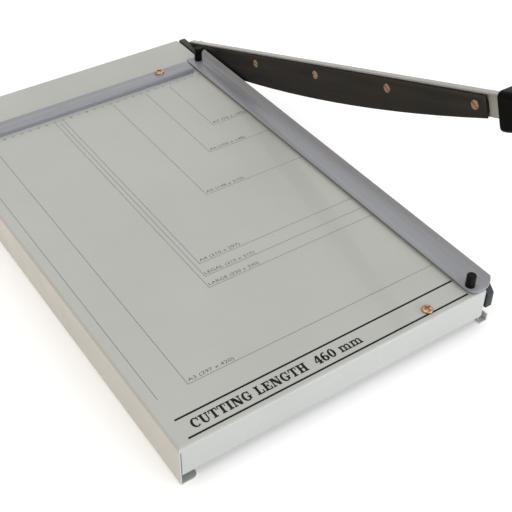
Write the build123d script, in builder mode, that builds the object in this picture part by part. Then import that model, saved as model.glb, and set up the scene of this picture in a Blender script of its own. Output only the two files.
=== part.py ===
"""Guillotine paper cutter: a folded steel table with a rear fence, a sprung clamp bar
and a curved knife on a hinged arm that shears past a fixed bed knife.

Modelled from three working datums: X = 0 is the cutting plane (the table lies on
the -X side, the arm on the +X side), Y = 0 is the zero line of the printed sizes, just
in front of the fence (the front of the table is -Y), and Z = 0 is the paper surface. The
finished pieces are then moved together so that the origin is the bottom centre of the
whole cutter. Millimetres.
"""
from build123d import *
from math import cos, radians, sin
import os

os.makedirs("parts", exist_ok=True)

# ---------------------------------------------------------------- driving dimensions
# table: one folded sheet, open underneath
table_left = 339.0          # from the cutting plane to the left wall
table_front = 475.0         # from the zero line to the front flange
table_rear = 84.5           # from the zero line to the rear flange
sheet = 1.5                 # sheet thickness
wall_height = 44.0          # side walls, down to the feet
flange_height = 32.0        # front and rear flanges
bend_radius = 3.0           # outer radius of the folds
wrap_radius = 4.5           # upright corners on the knife side
seam_gap = 0.8              # open seam at the upright corners on the left
foot_width = 17.0           # left foot, turned inwards
lip_height = 8.0            # upstand at the edge of the right foot
lip_clearance = 0.6         # from the right foot to the cutting plane

# bed knife: a steel bar bolted outside the right wall
knife_width = 8.0
knife_above = 0.8           # top edge above the paper surface
knife_depth = 24.4
knife_rear_gap = 4.0        # from the bar to the rear of the table
knife_lead_in = 8.0         # bevel at the front end
knife_screw_inset = 27.5    # end screws, from the front of the bar and the zero line
knife_screw_count = 4

# fence
fence_setback = 3.5         # fence face behind the zero line
fence_depth = 20.5
fence_height = 6.5
fence_bend = 2.6
fence_left_gap = 9.0
fence_right_gap = 33.0      # from the end of the fence to the cutting plane
fence_screw_inset = 54.0    # left screw, from the left wall

# clamp bar and its two guide studs
clamp_inner = 28.0          # inner edge, from the cutting plane
clamp_edge_gap = 0.8        # from its turned-up edge to the cutting plane
clamp_lift = 2.0            # gap for paper when the bar is up
cove_radius = 8.0
cove_angle = 50.0
lip_length = 4.6
clamp_corner = 9.0          # front inner corner
clamp_outer_corner = 10.0   # front corner at the cutting edge
clamp_front_gap = 1.0       # from the front of the table
clamp_rear = 30.0
stud_front_inset = (21.5, 11.5)   # from the cutting plane and the front of the table
stud_rear_inset = (0.2, 21.5)     # from its bush to the right wall, and behind the zero line
stud_shank_radius = 3.0
stud_head_radius = 4.6
stud_head_heights = (13.0, 16.5)
stud_tip_radius = 2.0
stud_tip_length = 4.0
clip_radius = 5.5
clip_thickness = 0.8
clip_groove_depth = 0.6
bush_radius = 4.5
bush_flange_radius = 5.8
bush_flange = 1.5

# leaf springs under the table
leaf_width = 12.0
leaf_thickness = 0.8
leaf_drop = 7.6             # from the table to the free end
leaf_overhang = 5.0
leaf_seat = 12.0            # flat part under the screw
leaf_screw_inset = 73.0     # screws, from the cutting plane
leaf_rear = 16.5            # rear screw, behind the zero line

# arm, knife and handle, measured from the pivot along and across the arm
arm_angle = 20.0            # how far the arm stands open
pivot_rear = 64.0           # pivot, behind the fence face
arm_end_gap = 1.4           # from the arm and its top flange to the handle
arm_tail = 11.0             # web behind the pivot
tail_round = 11.0           # its upper corner, where the top flange starts
arm_web = 5.0
arm_above = 11.2            # pivot to the underside of the top flange
arm_below = 9.7
flange_thickness = 1.8
flange_edge = 0.3           # flange edge, from the cutting plane
tang_length = 101.0
tang_height = 14.0
knife_blade = 3.0           # blade thickness
blade_end_gap = 18.9        # from the blade to the handle
blade_tail = 12.0
blade_above = 10.0
belly_station = 235.0
belly_depth = 27.1
toe_depth = 10.2
heel_depth = 13.8
bevel_across = 2.3
bevel_up = 6.0
blade_screw_first = 153.0
blade_screw_end_gap = 14.5  # last screw, from the end of the blade
blade_screw_count = 4
pivot_radius = 5.0
bush_wall = 2.0
handle_gap = 1.4            # from the bed knife to the handle of the closed arm
handle_section_pitch = 15.0
handle_screw_insets = (37.6, 81.6)

# fasteners
screw_radius = 2.5
pan_head_radius = 5.6
pan_head_height = 2.8
recess_width = 1.3
recess_depth = 1.4
nut_across_flats = 8.0
nut_height = 4.0
sink_radius = 4.6
pivot_nut_across_flats = 17.0
pivot_nut_height = 8.5
pivot_head_radius = 7.3
pivot_head_gap = 0.2        # from the fold of the table to the pivot bolt's head
pivot_head_height = 5.5
washer_thickness = 1.6
wave_thickness = 1.0

# clearances
running = 0.05              # turning and sliding fits, and the knives' faces
play = 0.1                  # round fixed screws and bushes
axial_play = 0.1            # between parts that turn or slide past each other
slack = 0.5                 # round the stud tips in the leaf springs

# ---------------------------------------------------------------- derived places
wall_outer = -knife_width
wall_inner = wall_outer - sheet
table_width = table_left - knife_width
table_depth = table_front + table_rear
table_centre = (wall_outer - table_width / 2, (table_rear - table_front) / 2)
knife_rear = table_rear - knife_rear_gap
pivot_below = bend_radius + pivot_head_gap + pivot_head_radius
knife_top = knife_above
knife_middle = knife_top - knife_depth / 2
knife_screw_pitch = (table_front - 2 * knife_screw_inset) / (knife_screw_count - 1)
knife_screws = [-knife_screw_inset - i * knife_screw_pitch for i in range(knife_screw_count)]
stud_front = (-stud_front_inset[0], stud_front_inset[1] - table_front)
stud_rear = (wall_inner - bush_flange_radius - stud_rear_inset[0], stud_rear_inset[1])
stud_points = [stud_front, stud_rear]
leaf_points = [(-leaf_screw_inset, stud_front[1]), (-leaf_screw_inset, leaf_rear)]
fence_points = [leaf_points[1], (fence_screw_inset - table_left, leaf_rear)]
clamp_top = clamp_lift + sheet
clamp_front = table_front - clamp_front_gap
cove_turn = radians(cove_angle)
clamp_rise_width = (cove_radius + sheet) * sin(cove_turn) + lip_length * cos(cove_turn)
clamp_flat = clamp_inner - clamp_edge_gap - clamp_rise_width
leaf_underside = -sheet - leaf_thickness
shoulder = -sheet - leaf_drop
clip_top = -sheet - bush_flange - axial_play
handle_start = table_front + pivot_rear + handle_gap
arm_length = handle_start - arm_end_gap
tang_end = arm_length + tang_length
blade_end = handle_start - blade_end_gap
blade_screw_pitch = (
    (blade_end - blade_screw_end_gap - blade_screw_first) / (blade_screw_count - 1)
)
blade_screws = [blade_screw_first + i * blade_screw_pitch for i in range(blade_screw_count)]
handle_screw_stations = [handle_start + inset for inset in handle_screw_insets]
blade_inner = running
web_inner = blade_inner + knife_blade
web_outer = web_inner + arm_web
web_middle = web_inner + arm_web / 2
arm_top = arm_above + flange_thickness
flange_length = arm_length + arm_tail - tail_round
bush_outer = web_outer + 0.9
wave_start = bush_outer + axial_play
washer_start = wave_start + wave_thickness
nut_start = washer_start + washer_thickness


def arm_point(along, across, x):
    """A point given along the raised arm and across it, in the cutter's datums."""
    angle = radians(arm_angle)
    return (
        x,
        pivot_rear - along * cos(angle) + across * sin(angle),
        -pivot_below + along * sin(angle) + across * cos(angle),
    )


arm_direction = (0, -cos(radians(arm_angle)), sin(radians(arm_angle)))


def arm_side(x):
    """The upright plane of the arm at one X; its normal looks towards the table."""
    return Plane(origin=arm_point(0, 0, x), x_dir=arm_direction, z_dir=(-1, 0, 0))


def arm_section(along, across=0.0):
    """A plane square to the arm, centred on its web."""
    return Plane(origin=arm_point(along, across, web_middle), x_dir=(1, 0, 0), z_dir=arm_direction)


# ---------------------------------------------------------------- table
front_edge = Plane.XZ.offset(table_front)
with BuildPart() as table:
    with Locations((*table_centre, 0)):
        Box(table_width, table_depth, wall_height, align=(Align.CENTER, Align.CENTER, Align.MAX))
    fillet(table.edges().filter_by(Axis.Z).group_by(Axis.X)[-1], wrap_radius)
    fillet(table.faces().sort_by(Axis.Z)[-1].edges(), bend_radius)
    # the hollow underneath follows the outside one sheet thickness in
    with BuildSketch(Plane.XY.offset(-wall_height)) as hollow:
        with Locations(table_centre):
            Rectangle(table_width - 2 * sheet, table_depth - 2 * sheet)
        fillet(hollow.vertices().group_by(Axis.X)[-1], wrap_radius - sheet)
    extrude(amount=wall_height - sheet, mode=Mode.SUBTRACT)
    # the front and rear flanges stop short of the feet
    for end, way in ((-table_front, 1), (table_rear, -1)):
        with Locations((wall_outer - table_width + sheet, end - way, -wall_height)):
            Box(
                table_width, wrap_radius + 1, wall_height - flange_height,
                align=(Align.MIN, Align.MIN if way > 0 else Align.MAX, Align.MIN),
                mode=Mode.SUBTRACT,
            )
        # open seam beside the left wall
        with Locations((wall_outer - table_width + sheet, end - way, -wall_height)):
            Box(
                seam_gap, sheet + 1.2, wall_height - bend_radius - 1,
                align=(Align.MIN, Align.MIN if way > 0 else Align.MAX, Align.MIN),
                mode=Mode.SUBTRACT,
            )
    # left foot, turned inwards, with rounded inner corners
    with BuildSketch(Plane.XY.offset(-wall_height)) as left_foot:
        with Locations((-table_left, table_centre[1])):
            Rectangle(foot_width, table_depth, align=(Align.MIN, Align.CENTER))
        fillet(left_foot.vertices().group_by(Axis.X)[-1], 5.0)
    extrude(amount=sheet)
    fillet(
        table.edges().filter_by(Axis.Y).filter_by_position(Axis.X, -table_left, -table_left)
        .group_by(Axis.Z)[0], sheet + 0.8,
    )
    # right foot, turned outwards under the bed knife, with an upstand
    foot_length = table_depth - 2.0
    foot_reach = knife_width - lip_clearance
    with Locations((wall_inner, table_centre[1], -wall_height)):
        Box(foot_reach + sheet, foot_length, sheet, align=(Align.MIN, Align.CENTER, Align.MIN))
    with Locations((-lip_clearance, table_centre[1], -wall_height)):
        Box(sheet, foot_length, lip_height, align=(Align.MAX, Align.CENTER, Align.MIN))
    # holes in the top for the guide bushes and the screws
    with Locations(*stud_points):
        Hole(bush_radius + play, depth=2 * sheet)
    with Locations(*leaf_points, fence_points[1]):
        Hole(screw_radius + play, depth=2 * sheet)
    # holes in the right wall for the bed knife screws and the pivot bolt
    with BuildSketch(Plane.YZ.offset(wall_inner - 1)):
        with Locations(*[(y, knife_middle) for y in knife_screws]):
            Circle(screw_radius + play)
        with Locations((pivot_rear, -pivot_below)):
            Circle(pivot_radius + play)
    extrude(amount=sheet + 2, mode=Mode.SUBTRACT)

# ---------------------------------------------------------------- bed knife
with BuildPart() as bed_knife:
    with BuildSketch(Plane.YZ) as knife_side:
        with BuildLine():
            Polyline(
                (-table_front, knife_top - knife_depth),
                (knife_rear, knife_top - knife_depth),
                (knife_rear, knife_top),
                (-table_front + knife_lead_in, knife_top),
                (-table_front, knife_top - knife_lead_in),
                close=True,
            )
        make_face()
        with Locations(*[(y, knife_middle) for y in knife_screws]):
            Circle(screw_radius, mode=Mode.SUBTRACT)
        with Locations((pivot_rear, -pivot_below)):
            Circle(pivot_radius + play, mode=Mode.SUBTRACT)
    extrude(amount=-knife_width)
    chamfer(bed_knife.faces().sort_by(Axis.X)[0].edges().filter_by(Axis.Y), 0.8)

with BuildPart() as bed_knife_screws:
    with BuildSketch(Plane.YZ.offset(wall_inner)):
        with Locations(*[(y, knife_middle) for y in knife_screws]):
            Circle(pan_head_radius)
    extrude(amount=-pan_head_height)
    fillet(bed_knife_screws.faces().filter_by(Axis.X).sort_by(Axis.X)[:knife_screw_count].edges(), 1.2)
    with BuildSketch(Plane.YZ.offset(wall_inner)):
        with Locations(*[(y, knife_middle) for y in knife_screws]):
            Circle(screw_radius)
    extrude(amount=sheet + knife_width - 1.0)
    with BuildSketch(Plane.YZ.offset(wall_inner - pan_head_height)):
        with Locations(*[(y, knife_middle) for y in knife_screws]):
            Rectangle(6.0, recess_width)
            Rectangle(recess_width, 6.0)
    extrude(amount=recess_depth, mode=Mode.SUBTRACT)

# ---------------------------------------------------------------- fence
fence_right = -fence_right_gap
fence_length = table_left - fence_left_gap - fence_right_gap
with BuildPart() as fence:
    with BuildSketch(Plane.YZ.offset(fence_right)) as fence_end:
        with Locations((fence_setback + fence_depth / 2, fence_height / 2)):
            Rectangle(fence_depth, fence_height)
        fillet(fence_end.vertices().group_by(Axis.Y)[-1], fence_bend)
        with Locations((fence_setback + fence_depth / 2, 0)):
            Rectangle(
                fence_depth - 2 * sheet, fence_height - sheet,
                align=(Align.CENTER, Align.MIN), mode=Mode.SUBTRACT,
            )
    extrude(amount=-fence_length)
    with Locations(*[(x, y, fence_height) for x, y in fence_points]):
        Hole(screw_radius + play, depth=2 * sheet)


def nut_sketch(points):
    """Hexagons with round bores, for the nuts under the table."""
    with BuildSketch() as outline:
        with Locations(*points):
            RegularPolygon(nut_across_flats / 2, 6, major_radius=False)
            Circle(screw_radius, mode=Mode.SUBTRACT)
    return outline.sketch


with BuildPart() as fence_screws:
    with BuildSketch(Plane.XY.offset(fence_height)):
        with Locations(*fence_points):
            Circle(pan_head_radius)
    extrude(amount=pan_head_height)
    fillet(fence_screws.faces().filter_by(Axis.Z).group_by(Axis.Z)[-1].edges(), 1.6)
    with BuildSketch(Plane.XY.offset(fence_height)):
        with Locations(*fence_points):
            Circle(screw_radius)
    extrude(amount=-(fence_height + sheet + leaf_thickness + nut_height + 1.5))
    with BuildSketch(Plane.XY.offset(fence_height + pan_head_height)):
        with Locations(*fence_points):
            Rectangle(6.4, recess_width)
            Rectangle(recess_width, 6.4)
    extrude(amount=-recess_depth, mode=Mode.SUBTRACT)

with BuildPart() as fence_nuts:
    add(Plane.XY.offset(leaf_underside) * nut_sketch(fence_points[:1]))
    add(Plane.XY.offset(-sheet) * nut_sketch(fence_points[1:]))
    extrude(amount=-nut_height)

with BuildPart() as front_spring_screw:
    with BuildSketch():
        with Locations(leaf_points[0]):
            Circle(pan_head_radius)
    extrude(amount=pan_head_height)
    fillet(front_spring_screw.faces().sort_by(Axis.Z)[-1].edges(), 1.6)
    with BuildSketch():
        with Locations(leaf_points[0]):
            Circle(screw_radius)
    extrude(amount=-(sheet + leaf_thickness + nut_height + 1.5))
    with BuildSketch(Plane.XY.offset(pan_head_height)):
        with Locations(leaf_points[0]):
            Rectangle(6.4, recess_width)
            Rectangle(recess_width, 6.4)
    extrude(amount=-recess_depth, mode=Mode.SUBTRACT)

with BuildPart() as front_spring_nut:
    add(Plane.XY.offset(leaf_underside) * nut_sketch(leaf_points[:1]))
    extrude(amount=-nut_height)


# ---------------------------------------------------------------- leaf springs
def leaf_spring(screw_point, stud_point):
    """A bent strip: flat under its screw, falling to a level end below the stud."""
    top = -sheet
    bottom = top - leaf_drop - running
    start = screw_point[0] - leaf_seat / 2
    bend_start = screw_point[0] + leaf_seat / 2 + 3
    bend_end = stud_point[0] - leaf_seat / 2
    end = stud_point[0] + leaf_overhang
    middle = (screw_point[1] + stud_point[1]) / 2
    with BuildPart() as leaf:
        with BuildSketch(Plane.XZ.offset(-middle - leaf_width / 2)):
            with BuildLine():
                for drop in (0, -leaf_thickness):
                    Line((start, top + drop), (bend_start, top + drop))
                    Spline(
                        (bend_start, top + drop), (bend_end, bottom + drop),
                        tangents=[(1, 0), (1, 0)],
                    )
                    Line((bend_end, bottom + drop), (end, bottom + drop))
                for x, level in ((start, top), (end, bottom)):
                    Line((x, level), (x, level - leaf_thickness))
            make_face()
        extrude(amount=leaf_width)
        with Locations((*screw_point, top)):
            Hole(screw_radius + play, depth=2 * leaf_thickness)
        with Locations((*stud_point, bottom)):
            Hole(stud_tip_radius + slack, depth=2 * leaf_thickness)
    return leaf


front_leaf_spring = leaf_spring(leaf_points[0], stud_front)
rear_leaf_spring = leaf_spring(leaf_points[1], stud_rear)

# ---------------------------------------------------------------- clamp bar
with BuildPart() as guide_bushes:
    with BuildSketch():
        with Locations(*stud_points):
            Circle(bush_radius)
    extrude(amount=-sheet)
    with BuildSketch(Plane.XY.offset(-sheet)):
        with Locations(*stud_points):
            Circle(bush_flange_radius)
    extrude(amount=-bush_flange)
    with Locations(*stud_points):
        Hole(stud_shank_radius + running, depth=2 * (sheet + bush_flange))

with BuildPart() as clamp_bar:
    with BuildSketch(Plane.XZ.offset(-clamp_rear)) as clamp_section:
        with BuildLine() as clamp_line:
            flat = Line((-clamp_inner, clamp_top), (-clamp_inner + clamp_flat, clamp_top))
            cove = JernArc(start=flat @ 1, tangent=(1, 0), radius=cove_radius, arc_size=cove_angle)
            Line(cove @ 1, cove @ 1 + lip_length * (cove % 1))
            offset(amount=sheet, side=Side.RIGHT)
        make_face()
    extrude(amount=clamp_front + clamp_rear)
    clamp_right = clamp_bar.part.bounding_box().max.X
    with BuildSketch() as clamp_plan:
        with Locations((clamp_right, clamp_rear)):
            Rectangle(
                clamp_right + clamp_inner, clamp_front + clamp_rear, align=(Align.MAX, Align.MAX)
            )
        fillet(clamp_plan.vertices().group_by(Axis.Y)[0].sort_by(Axis.X)[-1], clamp_outer_corner)
        fillet(clamp_plan.vertices().group_by(Axis.Y)[0].sort_by(Axis.X)[0], clamp_corner)
        fillet(clamp_plan.vertices().group_by(Axis.Y)[-1], 3.0)
    extrude(amount=50, both=True, mode=Mode.INTERSECT)
    with Locations(*[(x, y, clamp_top) for x, y in stud_points]):
        Hole(stud_shank_radius, depth=2 * sheet)

with BuildPart() as guide_studs:
    for stud_point, stud_head_height in zip(stud_points, stud_head_heights):
        with BuildSketch(Plane.XY.offset(clamp_top)):
            with Locations(stud_point):
                Circle(stud_head_radius)
        extrude(amount=stud_head_height)
        chamfer(guide_studs.faces().filter_by(Axis.Z).sort_by(Axis.Z)[-1].edges(), 0.7)
    with BuildSketch(Plane.XY.offset(clamp_top)):
        with Locations(*stud_points):
            Circle(stud_shank_radius)
    extrude(amount=shoulder - clamp_top)
    with BuildSketch(Plane.XY.offset(shoulder)):
        with Locations(*stud_points):
            Circle(stud_tip_radius)
    extrude(amount=-stud_tip_length)
    with BuildSketch(Plane.XY.offset(clip_top)):
        with Locations(*stud_points):
            Circle(stud_shank_radius)
            Circle(stud_shank_radius - clip_groove_depth, mode=Mode.SUBTRACT)
    extrude(amount=-clip_thickness, mode=Mode.SUBTRACT)

with BuildPart() as stud_clips:
    with BuildSketch(Plane.XY.offset(clip_top)):
        with Locations(*stud_points):
            Circle(clip_radius)
            Circle(stud_shank_radius - clip_groove_depth, mode=Mode.SUBTRACT)
        with Locations(*[(x - clip_radius / 2, y) for x, y in stud_points]):
            Rectangle(clip_radius, 3.2, mode=Mode.SUBTRACT)
    extrude(amount=-clip_thickness)

# ---------------------------------------------------------------- pivot
pivot_axis = Plane(origin=(0, pivot_rear, -pivot_below), x_dir=(0, 1, 0), z_dir=(1, 0, 0))
with BuildPart() as pivot_bolt:
    with BuildSketch(pivot_axis.offset(wall_inner)):
        Circle(pivot_head_radius)
    extrude(amount=-pivot_head_height)
    fillet(pivot_bolt.faces().sort_by(Axis.X)[0].edges(), 2.0)
    with BuildSketch(pivot_axis.offset(wall_inner)):
        Circle(pivot_radius)
    extrude(amount=nut_start + pivot_nut_height + 2.5 - wall_inner)
    chamfer(pivot_bolt.faces().sort_by(Axis.X)[-1].edges(), 0.8)

with BuildPart() as pivot_bush:
    with BuildSketch(pivot_axis.offset(axial_play)):
        Circle(pivot_radius + bush_wall)
        Circle(pivot_radius + running, mode=Mode.SUBTRACT)
    extrude(amount=bush_outer - axial_play)

with BuildPart() as wave_washer:
    with BuildSketch(pivot_axis.offset(wave_start)):
        Circle(pivot_radius + 4.5)
        Circle(pivot_radius + play, mode=Mode.SUBTRACT)
    extrude(amount=wave_thickness)

with BuildPart() as pivot_washer:
    with BuildSketch(pivot_axis.offset(washer_start)):
        Circle(pivot_radius + 5.5)
        Circle(pivot_radius + play, mode=Mode.SUBTRACT)
    extrude(amount=washer_thickness)

with BuildPart() as pivot_lock_nut:
    with BuildSketch(pivot_axis.offset(nut_start)):
        RegularPolygon(pivot_nut_across_flats / 2, 6, major_radius=False)
    extrude(amount=pivot_nut_height * 0.7)
    with BuildSketch(pivot_axis.offset(nut_start)):
        Circle(pivot_nut_across_flats / 2 - 0.6)
    extrude(amount=pivot_nut_height)
    fillet(pivot_lock_nut.faces().sort_by(Axis.X)[-1].edges(), 1.0)
    with BuildSketch(pivot_axis.offset(nut_start)):
        Circle(pivot_radius)
    extrude(amount=pivot_nut_height, mode=Mode.SUBTRACT)

# ---------------------------------------------------------------- arm
with BuildPart() as arm:
    with BuildSketch(arm_side(web_inner)) as web:
        with BuildLine():
            Polyline(
                (-arm_tail, -arm_below), (arm_length, -arm_below),
                (arm_length, arm_top), (-arm_tail, arm_top), close=True,
            )
        make_face()
        fillet(web.vertices().group_by(Axis.X)[0].sort_by(Axis.Y)[0], tail_round - 3.0)
        fillet(web.vertices().group_by(Axis.X)[0].sort_by(Axis.Y)[-1], tail_round)
    extrude(amount=-arm_web)
    with BuildSketch(arm_side(flange_edge)):
        with Locations((arm_length, arm_above)):
            Rectangle(flange_length, flange_thickness, align=(Align.MAX, Align.MIN))
    extrude(amount=flange_edge - web_outer)
    long_edges = arm.edges().filter_by(lambda e: e.length > flange_length - 1)
    fillet(long_edges.sort_by(lambda e: -(e @ 0.5).X)[:2], 1.4)
    fillet(arm.edges().filter_by(lambda e: e.length > flange_length - 1).group_by(Axis.X)[0], 0.5)
    # tang inside the handle
    with BuildSketch(arm_side(web_inner)) as tang:
        with Locations(((arm_length + tang_end) / 2, 0)):
            Rectangle(tang_end - arm_length, tang_height)
    extrude(amount=-arm_web)
    # holes for the pivot bush, the blade screws and the handle screws
    with BuildSketch(arm_side(web_inner + arm_web + 1)):
        Circle(pivot_radius + bush_wall)
        with Locations(*[(s, 0) for s in blade_screws], *[(s, 0) for s in handle_screw_stations]):
            Circle(screw_radius)
    extrude(amount=arm_web + 2, mode=Mode.SUBTRACT)

# ---------------------------------------------------------------- blade
with BuildPart() as blade:
    with BuildSketch(arm_side(blade_inner)) as blade_outline:
        with BuildLine():
            ThreePointArc((-blade_tail, -heel_depth), (belly_station, -belly_depth), (blade_end, -toe_depth))
            Polyline(
                (blade_end, -toe_depth), (blade_end, blade_above),
                (-blade_tail, blade_above), (-blade_tail, -heel_depth),
            )
        make_face()
        fillet(blade_outline.vertices().group_by(Axis.X)[0], 6.0)
    extrude(amount=-knife_blade)
    ground_face = blade.faces().sort_by(Axis.X)[-1]
    cutting_edge = ground_face.edges().sort_by(lambda e: -e.length)[0:2].sort_by(Axis.Z)[0]
    chamfer(cutting_edge, length=bevel_up, length2=bevel_across, reference=ground_face)
    with BuildSketch(arm_side(blade_inner)):
        Circle(pivot_radius + bush_wall + play)
    extrude(amount=-knife_blade, mode=Mode.SUBTRACT)
    for station in blade_screws:
        with Locations(arm_side(blade_inner) * Location((station, 0, 0))):
            CounterSinkHole(screw_radius + play, sink_radius, depth=knife_blade + 1)

# countersunk slotted screws, flush with the face that rubs along the bed knife
with BuildPart() as blade_screws_group:
    for station in blade_screws:
        centre = arm_side(blade_inner) * Location((station, 0, 0))
        with Locations(centre):
            Cone(
                screw_radius, sink_radius - play, sink_radius - play - screw_radius,
                align=(Align.CENTER, Align.CENTER, Align.MAX),
            )
            Cylinder(
                screw_radius, knife_blade + arm_web, align=(Align.CENTER, Align.CENTER, Align.MAX)
            )
            Box(
                1.2, 2 * sink_radius + 2, 1.0,
                align=(Align.CENTER, Align.CENTER, Align.MAX), mode=Mode.SUBTRACT,
            )

# ---------------------------------------------------------------- handle
# evenly spaced sections from the arm outwards: height of centre, width, height, corner radius
handle_sections = (
    (-0.3, 23.5, 36.0, 6.0),
    (-0.2, 23.6, 34.4, 7.0),
    (0.0, 23.4, 31.4, 8.5),
    (0.0, 23.8, 30.4, 9.5),
    (0.0, 24.6, 31.0, 10.5),
    (0.0, 25.0, 31.5, 11.0),
    (0.0, 24.6, 31.0, 11.0),
    (0.0, 23.6, 29.2, 10.5),
    (0.0, 22.0, 26.5, 10.0),
)
with BuildPart() as handle:
    for i, (centre_height, width, height, corner) in enumerate(handle_sections):
        with BuildSketch(arm_section(handle_start + i * handle_section_pitch, centre_height)):
            RectangleRounded(width, height, corner)
    loft()
    handle_ends = handle.faces().filter_by(GeomType.PLANE)
    fillet(handle_ends.sort_by(Axis.Y)[0].edges(), 4.5)
    fillet(handle.faces().filter_by(GeomType.PLANE).sort_by(Axis.Y)[-1].edges(), 1.5)
    # slot for the tang
    with BuildSketch(arm_section(handle_start - 1)):
        Rectangle(arm_web + 2 * play, tang_height + 2 * play)
    extrude(amount=tang_end - handle_start + 1 + play, mode=Mode.SUBTRACT)
    # through holes, sunk for the screw heads from the table side
    for station in handle_screw_stations:
        with BuildSketch(arm_side(web_middle)):
            with Locations((station, 0)):
                Circle(screw_radius + play)
        extrude(amount=30, both=True, mode=Mode.SUBTRACT)
        with BuildSketch(arm_side(web_middle - 8.5)):
            with Locations((station, 0)):
                Circle(pan_head_radius)
        extrude(amount=20, mode=Mode.SUBTRACT)
        with BuildSketch(arm_side(web_middle + 8.0)):
            with Locations((station, 0)):
                RegularPolygon(nut_across_flats / 2 + play, 6, major_radius=False)
        extrude(amount=-20, mode=Mode.SUBTRACT)

with BuildPart() as handle_screws:
    with BuildSketch(arm_side(web_middle - 8.5)):
        with Locations(*[(s, 0) for s in handle_screw_stations]):
            Circle(pan_head_radius - 0.3)
    extrude(amount=2.6)
    with BuildSketch(arm_side(web_middle - 8.5)):
        with Locations(*[(s, 0) for s in handle_screw_stations]):
            Circle(screw_radius)
    extrude(amount=-(8.5 + 8.0 + 3.4))
    with BuildSketch(arm_side(web_middle - 8.5 - 2.6)):
        with Locations(*[(s, 0) for s in handle_screw_stations]):
            Rectangle(1.2, 12)
    extrude(amount=-1.2, mode=Mode.SUBTRACT)

with BuildPart() as handle_nuts:
    with BuildSketch(arm_side(web_middle + 8.0)):
        with Locations(*[(s, 0) for s in handle_screw_stations]):
            RegularPolygon(nut_across_flats / 2, 6, major_radius=False)
            Circle(screw_radius, mode=Mode.SUBTRACT)
    extrude(amount=-3.2)

# ---------------------------------------------------------------- finished pieces
pieces = {
    "table": table,
    "bed_knife": bed_knife,
    "bed_knife_screws": bed_knife_screws,
    "fence": fence,
    "fence_screws": fence_screws,
    "fence_nuts": fence_nuts,
    "front_spring_screw": front_spring_screw,
    "front_spring_nut": front_spring_nut,
    "front_leaf_spring": front_leaf_spring,
    "rear_leaf_spring": rear_leaf_spring,
    "guide_bushes": guide_bushes,
    "pivot_bolt": pivot_bolt,
    "wave_washer": wave_washer,
    "pivot_washer": pivot_washer,
    "pivot_lock_nut": pivot_lock_nut,
    "clamp_bar": clamp_bar,
    "guide_studs": guide_studs,
    "stud_clips": stud_clips,
    "arm": arm,
    "pivot_bush": pivot_bush,
    "blade": blade,
    "blade_screws": blade_screws_group,
    "handle": handle,
    "handle_screws": handle_screws,
    "handle_nuts": handle_nuts,
}

# the origin is the bottom centre of the whole cutter
boxes = [piece.part.bounding_box() for piece in pieces.values()]
lowest = [min(getattr(box.min, axis) for box in boxes) for axis in "XYZ"]
highest = [max(getattr(box.max, axis) for box in boxes) for axis in "XYZ"]
origin_shift = Location((
    -(lowest[0] + highest[0]) / 2, -(lowest[1] + highest[1]) / 2, -lowest[2],
))
for name, piece in pieces.items():
    finished = piece.part.moved(origin_shift)
    finished.label = name
    export_step(finished, f"parts/{name}.step")
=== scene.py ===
"""Looks of the guillotine paper cutter: paints, metals, print and screws around its frame.

Distances are metres in the frame's own axes: +X towards the knife side, +Y towards the
fence, +Z up. The three datums are the cutting plane, the zero line of the printed sizes
and the paper surface.
"""

import bmesh
import bpy
from math import cos, pi, radians, sin
from bpy.props import FloatProperty, FloatVectorProperty, PointerProperty
from mathutils import Matrix, Vector


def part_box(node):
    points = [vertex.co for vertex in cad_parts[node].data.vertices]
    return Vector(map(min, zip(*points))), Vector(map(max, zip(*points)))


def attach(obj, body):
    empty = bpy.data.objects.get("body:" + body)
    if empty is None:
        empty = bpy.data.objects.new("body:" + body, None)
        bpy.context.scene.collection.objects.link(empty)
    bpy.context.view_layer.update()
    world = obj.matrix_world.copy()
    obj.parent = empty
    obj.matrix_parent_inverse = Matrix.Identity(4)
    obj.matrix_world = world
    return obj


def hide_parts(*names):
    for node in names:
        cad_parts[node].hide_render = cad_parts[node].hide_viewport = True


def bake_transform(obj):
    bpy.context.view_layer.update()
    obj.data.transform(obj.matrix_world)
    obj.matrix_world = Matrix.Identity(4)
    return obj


bl_info = {
    "name": "Guillotine paper cutter",
    "version": (1, 0, 0),
    "blender": (4, 5, 0),
    "location": "3D View > Sidebar > Cutter",
    "description": "Builds the looks of a guillotine paper cutter around its frame",
    "category": "Object",
}

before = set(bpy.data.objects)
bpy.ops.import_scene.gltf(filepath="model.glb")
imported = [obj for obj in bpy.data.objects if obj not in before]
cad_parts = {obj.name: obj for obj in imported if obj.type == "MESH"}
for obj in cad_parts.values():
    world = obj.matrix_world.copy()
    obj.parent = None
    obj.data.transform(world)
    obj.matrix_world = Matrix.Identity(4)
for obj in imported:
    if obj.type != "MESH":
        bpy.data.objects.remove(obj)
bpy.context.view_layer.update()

# ------------------------------------------------------------------ datums and places
TABLE_LOW, TABLE_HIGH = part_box("table")
FENCE_SETBACK = 0.0035
CUT_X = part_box("bed_knife")[1].x
ZERO_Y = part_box("fence")[0].y - FENCE_SETBACK
DATUM = Vector((CUT_X, ZERO_Y, TABLE_HIGH.z))
CLAMP_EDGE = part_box("clamp_bar")[0].x - CUT_X
ARM_ANGLE = radians(20.0)

# ------------------------------------------------------------------ places of the print
# X is measured from the cut, Y from the zero line, and the lift from the paper surface
INK_LIFT = 0.00005
OUTLINE_START_Y = -0.0075
MARGIN_X = -0.3264
MARGIN_END_Y = -0.4204
RULES_Y = (-0.447, -0.4685)
RULE_START_X = -0.325
RULE_CLEARANCE = 0.001
TITLE_CORNER = (-0.317, -0.4628)
LABEL_OFFSET = (0.002, 0.0022)
LABEL_LETTERS = 14
NUMBERS_Y = -0.0045
NUMBERS = range(3, 33)

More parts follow.
